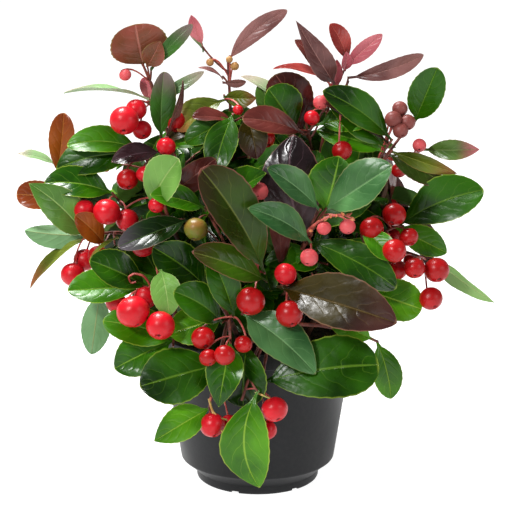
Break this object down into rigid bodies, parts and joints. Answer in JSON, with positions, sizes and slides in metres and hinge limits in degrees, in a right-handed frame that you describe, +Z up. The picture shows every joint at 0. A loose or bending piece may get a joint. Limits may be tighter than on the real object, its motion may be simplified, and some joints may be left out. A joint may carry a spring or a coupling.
{
  "type": "potted big berry wintergreen",
  "caption": "Low evergreen wintergreen shrub with oval leaves and large red berries, growing in a round tapered nursery pot.",
  "frame": {"origin": "centre of the pot's flat underside, on the surface the pot stands on", "axes": "+Z up along the pot's axis, -Y towards the front of the plant, +X to the right as seen from the front"},
  "size_m": [0.2754, 0.2131, 0.278],
  "materials": {
    "pot": "satin",
    "soil": "rough",
    "stem": "matte",
    "foliage": "satin"
  },
  "bodies": {
    "root": {"pot": "pot", "soil": "soil", "stem_top_left": "stem", "stem_top": "stem", "stem_top_right": "stem", "stem_right_upper": "stem", "stem_right": "stem", "stem_centre": "stem", "stem_centre_left": "stem", "stem_left_upper": "stem", "stem_left": "stem", "stem_left_low": "stem", "stem_front_left": "stem", "stem_front": "stem", "stem_side_right": "stem", "stem_back_right": "stem", "stem_back_left": "stem", "stem_side_left": "stem", "stem_back_low": "stem", "stem_back_top": "stem", "stem_inner_right": "stem", "stem_inner_left": "stem", "stem_inner_low": "stem", "foliage_top_left": "foliage", "foliage_top": "foliage", "foliage_top_right": "foliage", "foliage_right_upper": "foliage", "foliage_right": "foliage", "foliage_centre": "foliage", "foliage_centre_left": "foliage", "foliage_left_upper": "foliage", "foliage_left": "foliage", "foliage_left_low": "foliage", "foliage_front_left": "foliage", "foliage_front": "foliage", "foliage_side_right": "foliage", "foliage_back_right": "foliage", "foliage_back_left": "foliage", "foliage_side_left": "foliage", "foliage_back_low": "foliage", "foliage_back_top": "foliage", "foliage_inner_right": "foliage", "foliage_inner_left": "foliage", "foliage_inner_low": "foliage"}
  },
  "joints": []
}
